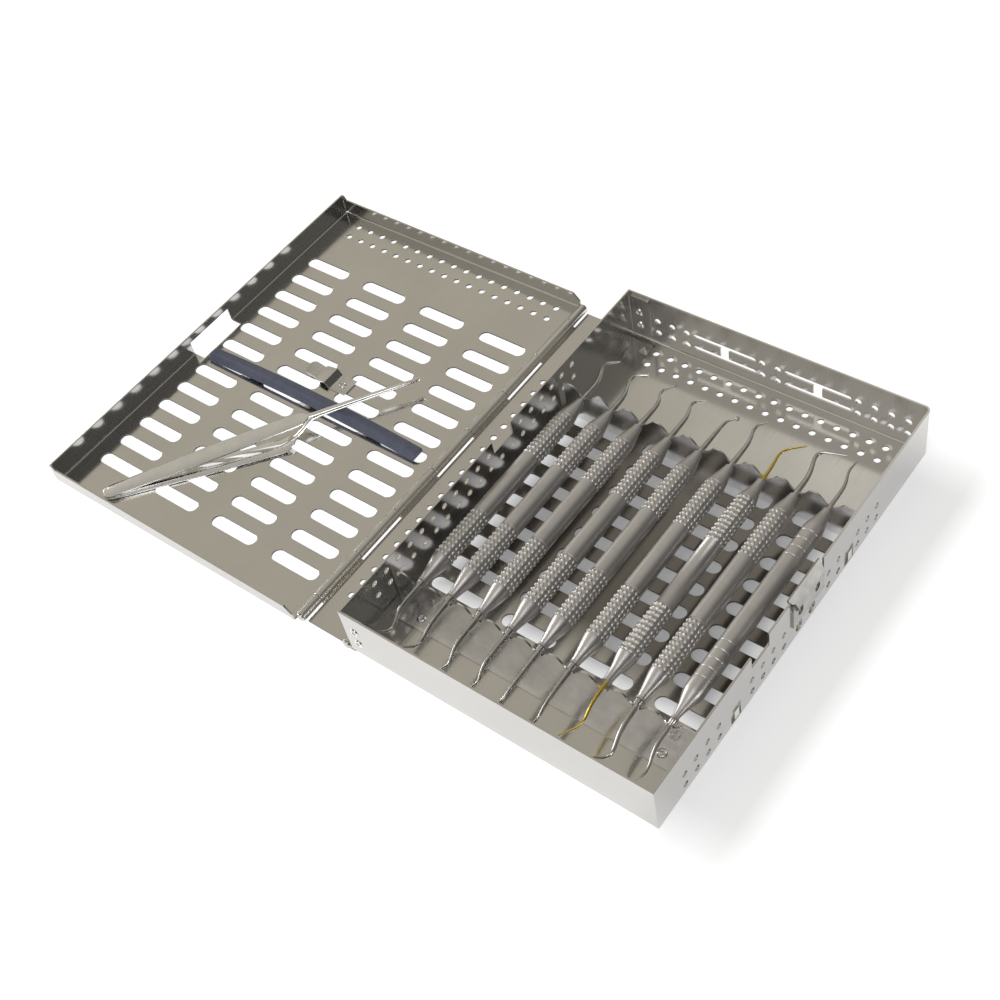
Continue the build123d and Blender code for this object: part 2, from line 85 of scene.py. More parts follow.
# %% [markdown]
# ## Floor and light
#
# Polished sheet shows its surroundings more than itself. The plates mirror the sky to the left and
# behind, the walls that face right mirror the sky to the right, and the outer walls mirror the floor.
# So the floor is pale and the sky is bright on the left and dark on the right. Three soft boxes stand
# where no flat face mirrors them and every bead and bend can: low on the left, in front and overhead.

# %% Floor and light
def soft_box(name, place, width, power):
    """A round area light of the given width in metres, which faces the point the camera looks at."""
    light = bpy.data.lights.new(name, "AREA")
    light.shape = "DISK"
    light.size = width
    light.energy = power
    lamp = bpy.data.objects.new(name, light)
    scene.collection.objects.link(lamp)
    lamp.location = place
    lamp.rotation_euler = (look_at - lamp.location).to_track_quat("-Z", "Y").to_euler()


soft_box("front_box", (0.25, -1.35, 1.05), 1.1, 7)
soft_box("top_box", (0.30, -0.25, 1.7), 0.6, 3)
soft_box("left_box", (-1.5, 0.0, 0.36), 0.6, 8)

half_floor = 3.0
gap_under_object = 0.2 * MM
floor_mesh = bpy.data.meshes.new("floor")
floor_mesh.from_pydata(
    [(-half_floor, -half_floor, 0), (half_floor, -half_floor, 0),
     (half_floor, half_floor, 0), (-half_floor, half_floor, 0)],
    [], [(0, 1, 2, 3)],
)
floor = bpy.data.objects.new("floor", floor_mesh)
floor.location.z = -gap_under_object
scene.collection.objects.link(floor)

# %% [markdown]
# ## A small helper for node trees
#
# Every finish and every geometry tree is a handful of nodes. One short function makes a node, sets
# its values and draws its links, so that each tree below reads from top to bottom like a recipe.

# %% Node helper
def add(tree, kind, inputs=(), **settings):
    """A new node; an input that is given a socket is linked, and one given a value is set."""
    node = tree.nodes.new(kind)
    for key, value in settings.items():
        setattr(node, key, value)
    for key, value in dict(inputs).items():
        if isinstance(value, bpy.types.NodeSocket):
            tree.links.new(value, node.inputs[key])
        else:
            node.inputs[key].default_value = value
    return node


def new_finish(name, **uniform):
    """A material with one shader; uniform values are set straight on the shader's sockets."""
    finish = bpy.data.materials.new(name)
    finish.use_nodes = True
    tree = finish.node_tree
    shader = next(n for n in tree.nodes if n.type == "BSDF_PRINCIPLED")
    for key, value in uniform.items():
        shader.inputs[key.replace("_", " ")].default_value = value
    return finish, tree, shader


def noise(tree, vector, scale, detail=2.0, rough=0.5):
    """A noise value, sampled on a vector that is already stretched."""
    made = add(tree, "ShaderNodeTexNoise", {"Vector": vector, "Scale": scale, "Detail": detail,
                                            "Roughness": rough})
    return made.outputs["Fac"]


def stretched(tree, vector, scale, turn=(0, 0, 0)):
    """The vector, turned and scaled, so that noise on it runs in streaks."""
    made = add(tree, "ShaderNodeMapping", {"Vector": vector, "Scale": scale, "Rotation": turn})
    return made.outputs["Vector"]


def remap(tree, value, low, high, to_low, to_high):
    """The value's range low..high carried to to_low..to_high, and held at both ends."""
    made = add(tree, "ShaderNodeMapRange", {"Value": value, "From Min": low, "From Max": high,
                                            "To Min": to_low, "To Max": to_high})
    return made.outputs["Result"]


def blend_colour(tree, factor, first, second):
    """A colour between two, by a factor from 0 to 1."""
    made = add(tree, "ShaderNodeMix", {"Factor": factor, 6: first, 7: second}, data_type="RGBA")
    return made.outputs[2]


def maths(tree, operation, first, second=0.0):
    """A sum, product, comparison or the like of one or two values."""
    made = add(tree, "ShaderNodeMath", {0: first, 1: second}, operation=operation)
    return made.outputs[0]


def fade(tree, coordinate, inner, outer):
    """1 where a coordinate is within inner of zero, 0 past outer, and even in between."""
    return remap(tree, maths(tree, "ABSOLUTE", coordinate), inner, outer, 1.0, 0.0)


def bump(tree, shader, height, strength, depth, edge=0.0):
    """A bump of the given depth in metres on the shader's normal, over edges rounded by a radius."""
    made = add(tree, "ShaderNodeBump", {"Height": height, "Strength": strength, "Distance": depth})
    if edge:
        soft = add(tree, "ShaderNodeBevel", {"Radius": edge}, samples=4)
        tree.links.new(soft.outputs["Normal"], made.inputs["Normal"])
    tree.links.new(made.outputs["Normal"], shader.inputs["Normal"])


# %% [markdown]
# ## Sky
#
# A world can be one flat colour, a sky model or any node tree on the direction looked in. A short tree
# gives the most control: a ramp from a warm light left to a near black right, and two soft glows. The
# first, behind, brightens the far plate of the tray. The second, in front, fills the shadows.

# %% Sky
def glow(tree, direction, toward, edge, strength):
    """A soft round brightness about a direction, which fades to nothing at the cosine edge."""
    near = add(tree, "ShaderNodeVectorMath", {0: direction, 1: Vector(toward).normalized()},
               operation="DOT_PRODUCT").outputs["Value"]
    return remap(tree, near, edge, 1.0, 0.0, strength)


sky = bpy.data.worlds.new("studio")
scene.world = sky
sky.use_nodes = True
sky_tree = sky.node_tree
direction = add(sky_tree, "ShaderNodeTexCoord").outputs["Generated"]
right_of_camera = (0.85, -0.30, 0.0)
toward_right = add(sky_tree, "ShaderNodeVectorMath", {0: direction, 1: right_of_camera},
                   operation="DOT_PRODUCT").outputs["Value"]
side = remap(sky_tree, toward_right, -0.7, 0.7, 0.0, 1.0)
ramp = add(sky_tree, "ShaderNodeValToRGB", {"Fac": side})
stops = ramp.color_ramp.elements
stops[0].position, stops[0].color = 0.05, (0.475, 0.445, 0.385, 1)
stops[1].position, stops[1].color = 0.95, (0.055, 0.055, 0.055, 1)
for position, colour in ((0.41, (0.385, 0.365, 0.325, 1)), (0.68, (0.225, 0.22, 0.21, 1))):
    stops.new(position).color = colour
calm = ramp.outputs["Color"]
glow_behind = glow(sky_tree, direction, (-0.25, 0.62, 0.745), 0.980, 0.26)
glow_in_front = glow(sky_tree, direction, (-0.05, -0.75, 0.66), 0.82, 0.35)
glows = maths(sky_tree, "ADD", glow_behind, glow_in_front)
sky_colour = add(sky_tree, "ShaderNodeVectorMath", {0: calm, 1: glows}, operation="ADD").outputs[0]
background = next(n for n in sky_tree.nodes if n.type == "BACKGROUND")
sky_tree.links.new(sky_colour, background.inputs["Color"])
background.inputs["Strength"].default_value = 1.0
scene.view_settings.view_transform = "Standard"

# %% [markdown]
# ## Finish: brushed sheet
#
# The sheet is cold rolled stainless, brushed along its length before it is punched and folded. Under
# a lens it is a field of fine parallel scratches, with clouds where hands and washing have dulled it,
# and a few deeper scratches. The streaks are noise sampled on stretched object coordinates. A folded
# wall carries the grain up with it, so the walls that face front and back take a second sampling that
# is stretched upward, chosen by the surface normal. Three tones are set to suit this light: the walls
# get a painted shade that leaves them darker than the plate, the cut edges of the slots are dark, and
# the plate gets a painted shade between the instruments, which shade it. The bump sits on normals
# that are rounded near every edge, which lets the folds catch a line of light.

# %% Finish: brushed sheet
plate_shade_reach = {"X": (64 * MM, 74 * MM), "Y": (40 * MM, 58 * MM)}
fold_radius = 0.28 * MM


def brushed_grain(tree, where, facing):
    """Fine streaks along the sheet, which run upward on the walls that face front and back."""
    along_floor = noise(tree, stretched(tree, where, (2600, 16, 2600)), 1.0, 3)
    up_walls = noise(tree, stretched(tree, where, (2600, 2600, 30)), 1.0, 3)
    on_wall = maths(tree, "GREATER_THAN", maths(tree, "ABSOLUTE", facing["Y"]), 0.7)
    return add(tree, "ShaderNodeMix", {"Factor": on_wall, 2: along_floor, 3: up_walls}).outputs[0]


def sheet_colour(tree, body, where, facing):
    """A sheet colour with a painted shade on the walls and between the instruments, dark on cut edges."""
    spot = add(tree, "ShaderNodeSeparateXYZ", {0: where}).outputs
    upright = maths(tree, "LESS_THAN", maths(tree, "ABSOLUTE", facing["Z"]), 0.15)
    # The walls are blended toward a darker tone: a painted shade.
    body = blend_colour(tree, maths(tree, "MULTIPLY", upright, 0.7), body, (0.48, 0.47, 0.455, 1))
    # The plate between the instruments is blended dark: a painted shade.
    shade = maths(tree, "LESS_THAN", spot["Z"], 2.5 * sheet)
    for axis, (inner, outer) in plate_shade_reach.items():
        shade = maths(tree, "MULTIPLY", shade, fade(tree, spot[axis], inner, outer))
    body = blend_colour(tree, maths(tree, "MULTIPLY", shade, 0.78), body, (0.10, 0.085, 0.07, 1))
    low = maths(tree, "LESS_THAN", spot["Z"], sheet - 0.02 * MM)
    cut = maths(tree, "MULTIPLY", low, upright)
    return blend_colour(tree, cut, body, (0.10, 0.095, 0.09, 1))


def brushed_sheet(name, light, dark, roughness):
    """Stainless sheet between two tones, with grain, clouds and scratches."""
    finish, tree, shader = new_finish(name, Metallic=1.0)
    place = add(tree, "ShaderNodeTexCoord")
    where = place.outputs["Object"]
    facing = add(tree, "ShaderNodeSeparateXYZ", {0: place.outputs["Normal"]}).outputs
    grain = brushed_grain(tree, where, facing)
    clouds = noise(tree, stretched(tree, where, (26, 18, 26)), 1.0, 5, 0.6)
    hair = noise(tree, stretched(tree, where, (900, 5, 900), (0, 0, 0.5)), 1.0, 1)
    scratch = remap(tree, hair, 0.70, 0.78, 0.0, 1.0)

    tone = maths(tree, "ADD", remap(tree, clouds, 0.35, 0.65, 0.0, 0.7),
                 remap(tree, grain, 0.35, 0.65, 0.0, 0.3))
    colour = sheet_colour(tree, blend_colour(tree, tone, light, dark), where, facing)
    tree.links.new(colour, shader.inputs["Base Color"])
    dull = maths(tree, "ADD", remap(tree, clouds, 0.35, 0.65, -0.03, 0.05),
                 remap(tree, grain, 0.3, 0.7, roughness - 0.03, roughness + 0.05))
    dull = maths(tree, "ADD", dull, maths(tree, "MULTIPLY", scratch, 0.08))
    tree.links.new(dull, shader.inputs["Roughness"])
    relief = maths(tree, "SUBTRACT", grain, maths(tree, "MULTIPLY", scratch, 0.5))
    bump(tree, shader, relief, 0.02, 0.02 * MM, fold_radius)
    return finish


sheet_finish = brushed_sheet("sheet_brushed", (0.77, 0.755, 0.72, 1), (0.70, 0.685, 0.65, 1), 0.13)

# %% [markdown]
# ## Finishes: polished steel, chrome, gold and satin handles
#
# The racks and the small parts are ground or polished, not brushed. Their marks are much finer, so one
# recipe serves them all: a metal colour with faint clouds, a roughness that wanders, and shallow
# polishing lines. The handles are bead blasted after turning, which makes a dense, soft, isotropic
# satin. Their raised beads are glossier, rubbed by gloves, and their lighter colour is a painted sheen.

# %% Finish: polished metal
def polished_metal(name, light, dark, roughness):
    """Metal between two tones, with clouds of even roughness and faint polishing lines."""
    finish, tree, shader = new_finish(name, Metallic=1.0)
    where = add(tree, "ShaderNodeTexCoord").outputs["Object"]
    lines = noise(tree, stretched(tree, where, (500, 60, 500)), 3.0, 2)
    clouds = noise(tree, where, 160.0, 4, 0.6)
    tone = remap(tree, clouds, 0.35, 0.65, 0.0, 1.0)
    tree.links.new(blend_colour(tree, tone, light, dark), shader.inputs["Base Color"])
    dull = maths(tree, "ADD", remap(tree, clouds, 0.3, 0.7, roughness * 0.7, roughness * 1.3),
                 remap(tree, lines, 0.4, 0.7, 0.0, 0.05))
    tree.links.new(dull, shader.inputs["Roughness"])
    bump(tree, shader, lines, 0.12, 0.01 * MM)
    return finish


rack_finish = polished_metal("rack_satin", (0.84, 0.83, 0.82, 1), (0.74, 0.73, 0.72, 1), 0.17)
chrome_finish = polished_metal("pliers_chrome", (0.94, 0.94, 0.93, 1), (0.86, 0.86, 0.85, 1), 0.10)
end_finish = polished_metal("ground_steel", (0.66, 0.65, 0.63, 1), (0.52, 0.51, 0.49, 1), 0.20)
pin_finish = polished_metal("pin_steel", (0.60, 0.58, 0.54, 1), (0.46, 0.44, 0.41, 1), 0.20)
latch_finish = polished_metal("latch_steel", (0.50, 0.485, 0.455, 1), (0.40, 0.39, 0.365, 1), 0.22)
rivet_finish = polished_metal("rivet_steel", (0.82, 0.81, 0.79, 1), (0.66, 0.65, 0.63, 1), 0.14)
gold_finish = polished_metal("gold_nitride", (0.86, 0.64, 0.13, 1), (0.72, 0.50, 0.09, 1), 0.20)


# %% Finish: blasted satin
def blasted_satin(name, light, dark, roughness):
    """Metal between two tones, pitted all over by blasting, with the lathe's rings faint below."""
    finish, tree, shader = new_finish(name, Metallic=1.0)
    where = add(tree, "ShaderNodeTexCoord").outputs["Object"]
    pits = noise(tree, where, 5200.0, 3, 0.6)
    turning = noise(tree, stretched(tree, where, (60, 2600, 60)), 1.0, 2)
    clouds = noise(tree, where, 70.0, 4, 0.6)
    tone = remap(tree, maths(tree, "ADD", clouds, maths(tree, "MULTIPLY", turning, 0.25)),
                 0.45, 0.8, 0.0, 1.0)
    tree.links.new(blend_colour(tree, tone, light, dark), shader.inputs["Base Color"])
    tree.links.new(remap(tree, clouds, 0.3, 0.7, roughness - 0.05, roughness + 0.07),
                   shader.inputs["Roughness"])
    bump(tree, shader, maths(tree, "ADD", pits, maths(tree, "MULTIPLY", turning, 0.6)), 0.3, 0.03 * MM)
    return finish


handle_finish = blasted_satin("handle_satin", (0.68, 0.66, 0.645, 1), (0.56, 0.543, 0.53, 1), 0.42)
# The beads' lighter tones are a painted sheen; their lower roughness is a real gloss.
bead_finish = blasted_satin("handle_beads", (0.76, 0.74, 0.72, 1), (0.64, 0.625, 0.605, 1), 0.33)

# %% [markdown]
# ## Finish: silicone
#
# The strip is extruded silicone in a slate blue. It is matt, a little mottled, faintly lined along
# its length, and it holds pale specks of dust. Mottle, lines and dust are noise at three scales.

# %% Finish: silicone
def slate_silicone(name):
    """A matt slate blue with mottling, drag lines and dust."""
    finish, tree, shader = new_finish(name, Metallic=0.0)
    shader.inputs["Specular IOR Level"].default_value = 0.45
    where = add(tree, "ShaderNodeTexCoord").outputs["Object"]
    mottle = noise(tree, where, 220.0, 5, 0.65)
    drag = noise(tree, stretched(tree, where, (40, 1200, 1200)), 1.0, 2)
    specks = remap(tree, noise(tree, where, 1500.0, 1), 0.72, 0.76, 0.0, 0.5)
    body = blend_colour(tree, remap(tree, mottle, 0.35, 0.65, 0, 1),
                        (0.092, 0.104, 0.158, 1), (0.116, 0.128, 0.186, 1))
    dusty = blend_colour(tree, specks, body, (0.33, 0.34, 0.39, 1))
    tree.links.new(dusty, shader.inputs["Base Color"])
    tree.links.new(remap(tree, mottle, 0.3, 0.7, 0.42, 0.58), shader.inputs["Roughness"])
    bump(tree, shader, maths(tree, "ADD", mottle, drag), 0.25, 0.06 * MM)
    return finish


silicone_finish = slate_silicone("silicone_slate")

# %% [markdown]
# ## Finish: studio floor
#
# The cassette stands on a lit white sheet, so the floor glows by itself and the slots look bright from
# above. Under the tray the glow is weaker and the colour darker, a painted shade where the instruments
# keep the light away. A short band beside the latch wall has a painted shadow too, without which the
# wall would mirror a white floor and lose its holes.

# %% Finish: studio floor
floor_shade_reach = {"X": (56 * MM, 70 * MM), "Y": (50 * MM, 62 * MM)}
wall_shadow_middle = 82 * MM
wall_shadow_reach = {"X": (12 * MM, 26 * MM), "Y": (85 * MM, 115 * MM)}


def studio_floor(name):
    """A pale sheet that glows, with a painted shade under the tray and a painted shadow beside the latch
    wall.
    """
    finish, tree, shader = new_finish(name, Metallic=0.0)
    where = add(tree, "ShaderNodeTexCoord").outputs["Object"]
    cloud = noise(tree, where, 6.0, 4, 0.5)
    pale = blend_colour(tree, cloud, (0.58, 0.58, 0.58, 1), (0.54, 0.54, 0.54, 1))
    spot = add(tree, "ShaderNodeSeparateXYZ", {0: where}).outputs
    # Painted shade under the tray: a darker colour and a weaker glow.
    shade = maths(tree, "MINIMUM", fade(tree, spot["X"], *floor_shade_reach["X"]),
                  fade(tree, spot["Y"], *floor_shade_reach["Y"]))
    tree.links.new(blend_colour(tree, shade, pale, (0.50, 0.50, 0.51, 1)), shader.inputs["Base Color"])
    tree.links.new(remap(tree, cloud, 0.3, 0.7, 0.75, 0.85), shader.inputs["Roughness"])
    # A painted shadow dims the glow in a band beside the latch wall.
    from_wall_shadow = maths(tree, "SUBTRACT", spot["X"], wall_shadow_middle)
    band = maths(tree, "MULTIPLY", fade(tree, from_wall_shadow, *wall_shadow_reach["X"]),
                 fade(tree, spot["Y"], *wall_shadow_reach["Y"]))
    dimmed = maths(tree, "SUBTRACT", 1.0, maths(tree, "MULTIPLY", band, 0.38))
    glow_strength = maths(tree, "MULTIPLY", remap(tree, shade, 0.0, 1.0, 0.82, 0.20), dimmed)
    shader.inputs["Emission Color"].default_value = (0.98, 0.985, 1.0, 1)
    tree.links.new(glow_strength, shader.inputs["Emission Strength"])
    return finish


floor_mesh.materials.append(studio_floor("floor_pale"))

# %% [markdown]
# ## Dress the sheet parts
#
# Flat sheet with crisp folds and punched holes is already right as it comes from the CAD model. Those
# nodes keep their meshes, and only the material in their slots changes.

# %% Dress the CAD nodes that stay
def dress(names, finish):
    """Gives CAD nodes a finish through their objects' own slots."""
    for name in names:
        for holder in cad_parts[name].material_slots:
            holder.material = finish


dress(("base_tray", "hinge_side_wall", "spine", "lid_pan"), sheet_finish)
dress(("front_rack", "back_rack"), rack_finish)
dress(("latch_spring", "strip_leaf_spring", "clip"), rivet_finish)
dress(("latch_plate",), latch_finish)
dress(("tray_hinge_pin", "lid_hinge_pin"), pin_finish)

# %% [markdown]
# ## Tools for round and drawn forms
#
# A turned handle, a bent shank, the arms of the pliers and the silicone strip are all the same kind
# of form: a cross section carried along a line. One function joins a row of sections into a closed
# skin. The others only say what the sections are.

# %% Loft helper
def skin(name, sections, sharp_degrees=40):
    """A closed mesh object through sections that have the same number of points."""
    form = bmesh.new()
    rings = [[form.verts.new(point) for point in section] for section in sections]
    count = len(rings[0])
    for ring, following in zip(rings, rings[1:]):
        for i in range(count):
            j = (i + 1) % count
            form.faces.new((ring[i], ring[j], following[j], following[i]))
    form.faces.new(list(reversed(rings[0])))
    form.faces.new(rings[-1])
    bmesh.ops.recalc_face_normals(form, faces=form.faces)
    mesh = bpy.data.meshes.new(name)
    form.to_mesh(mesh)
    form.free()
    mesh.shade_smooth()
    mesh.set_sharp_from_angle(angle=math.radians(sharp_degrees))
    piece = bpy.data.objects.new(name, mesh)
    scene.collection.objects.link(piece)
    return piece


def turned_rings(outline, x, z, sides=48):
    """Circles about an axis along Y, for an outline of (y, radius) pairs."""
    rings = []
    for y, radius in outline:
        angles = [2 * math.pi * i / sides for i in range(sides)]
        rings.append([Vector((x + radius * math.sin(a), y, z + radius * math.cos(a))) for a in angles])
    return rings


def join(name, pieces):
    """One object from several, with each piece's own materials and sharp edges kept."""
    bpy.ops.object.select_all(action="DESELECT")
    for piece in pieces:
        piece.select_set(True)
    bpy.context.view_layer.objects.active = pieces[0]
    bpy.ops.object.join()
    joined = bpy.context.view_layer.objects.active
    joined.select_set(False)
    joined.name = joined.data.name = name
    return joined


def settle(piece, body, finish, slot, *nodes):
    """The last step of every piece: finish, body and the CAD nodes it stands for; the slot is not used."""
    if not piece.data.materials:
        piece.data.materials.append(finish)
    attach(piece, body)
    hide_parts(*nodes)
    return piece


# %% [markdown]
# ## Geometry Nodes: a grip of beads
#
# Each grip is rolled with rows of low oval beads, eleven rows of twelve. Modelled by hand that is a
# long day; as a tree it is one bead, set round a circle to make a row, and rows set along a line to
# make a grip. Both grips of a handle come out of one tree, which joins them to the turned body that
# the modifier sits on.

# %% Geometry tree helpers
def new_geometry_tree(name, inputs):
    """An empty geometry tree with a geometry input, named inputs and a geometry output."""
    tree = bpy.data.node_groups.new(name, "GeometryNodeTree")
    tree.interface.new_socket("Geometry", in_out="INPUT", socket_type="NodeSocketGeometry")
    for label, kind, value in inputs:
        made = tree.interface.new_socket(label, in_out="INPUT", socket_type="NodeSocket" + kind)
        if value is not None:
            made.default_value = value
    tree.interface.new_socket("Geometry", in_out="OUTPUT", socket_type="NodeSocketGeometry")
    return tree, tree.nodes.new("NodeGroupInput").outputs, tree.nodes.new("NodeGroupOutput").inputs


def apply_tree(piece, tree, values):
    """Runs a tree on a piece with the given named inputs, and keeps the result as its plain mesh."""
    modifier = piece.modifiers.new(tree.name, "NODES")
    modifier.node_group = tree
    for socket in tree.interface.items_tree:
        if socket.in_out == "INPUT" and socket.name in values:
            modifier[socket.identifier] = values[socket.name]
    graph = bpy.context.evaluated_depsgraph_get()
    plain = bpy.data.meshes.new_from_object(piece.evaluated_get(graph))
    piece.modifiers.clear()
    piece.data = plain
    return piece


# %% Bead tree
def bead_tree():
    """Two grips of beads about an axis along Y, joined to the handle that they sit on."""
    tree, given, result = new_geometry_tree("beaded_grips", [
        ("Axis", "Vector", (0, 0, 0)), ("Radius", "Float", 4.0 * MM),
        ("Bead", "Vector", (0.80 * MM, 0.94 * MM, 0.52 * MM)),
        ("Columns", "Int", 12), ("Rows", "Int", 11), ("Row Pitch", "Float", 2.3 * MM),
        ("Front Start", "Float", -53.0 * MM), ("Rear Start", "Float", 6.5 * MM),
        ("Material", "Material", None),
    ])
    ball = add(tree, "GeometryNodeMeshUVSphere", {"Radius": 1.0, "Segments": 10, "Rings": 6})
    bead = add(tree, "GeometryNodeTransform", {"Geometry": ball.outputs[0], "Scale": given["Bead"]})
    circle = add(tree, "GeometryNodeMeshCircle", {"Vertices": given["Columns"], "Radius": given["Radius"]})
    upright = add(tree, "GeometryNodeTransform", {"Geometry": circle.outputs[0],
                                                  "Rotation": (math.pi / 2, 0, 0)})
    outward = add(tree, "GeometryNodeInputPosition").outputs[0]
    standing = add(tree, "FunctionNodeAlignRotationToVector", {"Vector": outward}, axis="Z")
    lying = add(tree, "FunctionNodeAlignRotationToVector",
                {"Rotation": standing.outputs[0], "Vector": (0, 1, 0)}, axis="Y", pivot_axis="Z")
    row = add(tree, "GeometryNodeInstanceOnPoints", {"Points": upright.outputs[0],
              "Instance": bead.outputs[0], "Rotation": lying.outputs[0]})
    step = add(tree, "ShaderNodeCombineXYZ", {"Y": given["Row Pitch"]}).outputs[0]
    grips = []
    for start in ("Front Start", "Rear Start"):
        first = add(tree, "ShaderNodeCombineXYZ", {"Y": given[start]}).outputs[0]
        first = add(tree, "ShaderNodeVectorMath", {0: given["Axis"], 1: first}, operation="ADD").outputs[0]
        line = add(tree, "GeometryNodeMeshLine", {"Count": given["Rows"], "Start Location": first,
                                                  "Offset": step}, mode="OFFSET")
        grips.append(add(tree, "GeometryNodeInstanceOnPoints",
                         {"Points": line.outputs[0], "Instance": row.outputs[0]}))
    beads = add(tree, "GeometryNodeJoinGeometry")
    for grip in grips:
        tree.links.new(grip.outputs[0], beads.inputs[0])
    solid = add(tree, "GeometryNodeRealizeInstances", {"Geometry": beads.outputs[0]})
    smooth = add(tree, "GeometryNodeSetShadeSmooth", {"Geometry": solid.outputs[0]})
    painted = add(tree, "GeometryNodeSetMaterial", {"Geometry": smooth.outputs[0],
                                                    "Material": given["Material"]})
    together = add(tree, "GeometryNodeJoinGeometry")
    tree.links.new(painted.outputs[0], together.inputs[0])
    tree.links.new(given["Geometry"], together.inputs[0])
    tree.links.new(together.outputs[0], result["Geometry"])
    return tree


beads = bead_tree()

# %% [markdown]
# ## Handles
#
# A handle is turned on a lathe: a slim neck with a collar at the front, a cone, a grip, a smooth
# middle, a second grip and a shorter cone. Seven handles share that outline. The seventh has ridges
# under its beads and short hollow cones, and the ninth has no beads but fine turned grooves.

# %% Handle outline
handle_low, handle_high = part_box("instrument_1_handle")
front_y, rear_y = handle_low.y, handle_high.y
axis_z = (handle_low.z + handle_high.z) / 2
full_radius = (handle_high.z - handle_low.z) / 2
grip_radius = full_radius - 0.30 * MM
neck_radius = 1.9 * MM
row_pitch = 2.3 * MM
front_grip = (-53.0 * MM, -30.0 * MM)
rear_grip = (6.6 * MM, 29.6 * MM)
front_cone, rear_cone = 13.2 * MM, 11.2 * MM
numbers = range(1, 10)
instrument_x = {n: sum(corner.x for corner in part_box(f"instrument_{n}_handle")) / 2 for n in numbers}


def cone(start, stop, r_start, r_stop, hollow=1.0, steps=10):
    """Outline points between two radii, as an S curve; above 1, hollow keeps the neck slim longer."""
    points = []
    for i in range(steps + 1):
        t = (i / steps) ** hollow
        ease = 0.5 * t + 0.5 * t * t * (3 - 2 * t)
        points.append((start + (stop - start) * i / steps, r_start + (r_stop - r_start) * ease))
    return points


def bands(span, pitch, radius, height, share=0.26):
    """Outline points of round ridges over a span, or of grooves where the height is negative."""
    points = []
    for k in range(round((span[1] - span[0]) / pitch) + 1):
        middle = span[0] + k * pitch
        points += [(middle + pitch * share * u, radius + height * h)
                   for u, h in ((-1, 0), (-0.6, 0.75), (0, 1), (0.6, 0.75), (1, 0))]
    return points


def handle_outline(number):
    """(y, radius) pairs of a turned handle, from its front end to its rear end."""
    neck = 1.35 * MM if number == 9 else neck_radius
    hollow = {7: 1.6, 9: 1.2}.get(number, 1.0)
    collar = [(0, -0.1), (0.15, 0.2), (0.9, 0.2), (1.05, -0.1)]
    outline = [(front_y + d * MM, neck + r * MM) for d, r in collar]
    outline += cone(front_y + 1.15 * MM, front_y + front_cone, neck, full_radius, hollow)
    for span in (front_grip, rear_grip):
        if number == 7:
            outline += bands(span, row_pitch, grip_radius, 0.22 * MM)
        elif number != 9:
            low, high = span[0] - 0.6 * row_pitch, span[1] + 0.6 * row_pitch
            edge = 0.2 * MM
            outline += [(low, full_radius), (low + edge, grip_radius),
                        (high - edge, grip_radius), (high, full_radius)]
    if number == 9:
        groove_pitch = 4.4 * MM
        outline += bands((-48.9 * MM, -31.3 * MM), groove_pitch, full_radius, -0.14 * MM, 0.07)
        outline += bands((14.1 * MM, 27.3 * MM), groove_pitch, full_radius, -0.14 * MM, 0.07)
    closing = cone(rear_y, rear_y - rear_cone, neck_radius, full_radius, hollow)
    return sorted(outline + closing)


# %% Turn the handles and bead them
for number in numbers:
    name = f"instrument_{number}_handle"
    x = instrument_x[number]
    turned = skin(f"scaler_{number}_handle", turned_rings(handle_outline(number), x, axis_z), 35)
    turned.data.materials.append(handle_finish)
    if number != 9:
        apply_tree(turned, beads, {
            "Axis": (x, 0, axis_z), "Radius": grip_radius, "Row Pitch": row_pitch,
            "Front Start": front_grip[0], "Rear Start": rear_grip[0], "Material": bead_finish,
        })
    settle(turned, f"instrument_{number}", handle_finish, "handle_satin", name)
    print(turned.name, len(turned.data.polygons), "faces")

# %% [markdown]
# ## Working ends
#
# Each end is one bar of ground steel, tapered and bent twice, with a tool at its tip: a blade, a
# point, a ball or a small condenser. A bar keeps its section through a bend, so the
# route is straight runs joined by short arcs, and the section is carried along it without twisting.
# A curve with a bevel could do the same; a skin of our own also lets the tip be flattened to a blade.

# %% Bent bar
def rounded_route(points, bend, steps=9):
    """The points with each inner corner replaced by a short curve that starts bend before it."""
    points = [Vector(p) for p in points]
    route = [points[0]]
    for before, corner, after in zip(points, points[1:], points[2:]):
        back = min(bend, (corner - before).length * 0.45)
        ahead = min(bend, (after - corner).length * 0.45)
        start = corner + (before - corner).normalized() * back
        stop = corner + (after - corner).normalized() * ahead
        for i in range(steps + 1):
            t = i / steps
            route.append(start * (1 - t) ** 2 + corner * 2 * t * (1 - t) + stop * t * t)
    return route + [points[-1]]


def bent_bar(name, points, radii, flat=(1.0, 1.0), sides=16, bend=4.6 * MM):
    """A skin along a route. Radii are (share of the length, radius); flat squeezes the tip's section."""
    route = rounded_route(points, bend)
    lengths = [0.0]
    for a, b in zip(route, route[1:]):
        lengths.append(lengths[-1] + (b - a).length)
    up = Vector((0, 0, 1))
    sections = []
    for i, place in enumerate(route):
        ahead = route[min(i + 1, len(route) - 1)] - route[max(i - 1, 0)]
        across = ahead.cross(up).normalized()
        rise = across.cross(ahead).normalized()
        t = lengths[i] / lengths[-1]
        for (t0, r0), (t1, r1) in zip(radii, radii[1:]):
            if t0 <= t <= t1 + 1e-9:
                radius = r0 + (r1 - r0) * (t - t0) / (t1 - t0)
                break
        squeeze = max(0.0, (t - 0.62) / 0.38)
        wide = 1 + (flat[0] - 1) * squeeze
        thick = 1 + (flat[1] - 1) * squeeze
        sections.append([
            place + across * (radius * wide * math.cos(a)) + rise * (radius * thick * math.sin(a))
            for a in (2 * math.pi * k / sides for k in range(sides))
        ])
    return skin(name, sections)


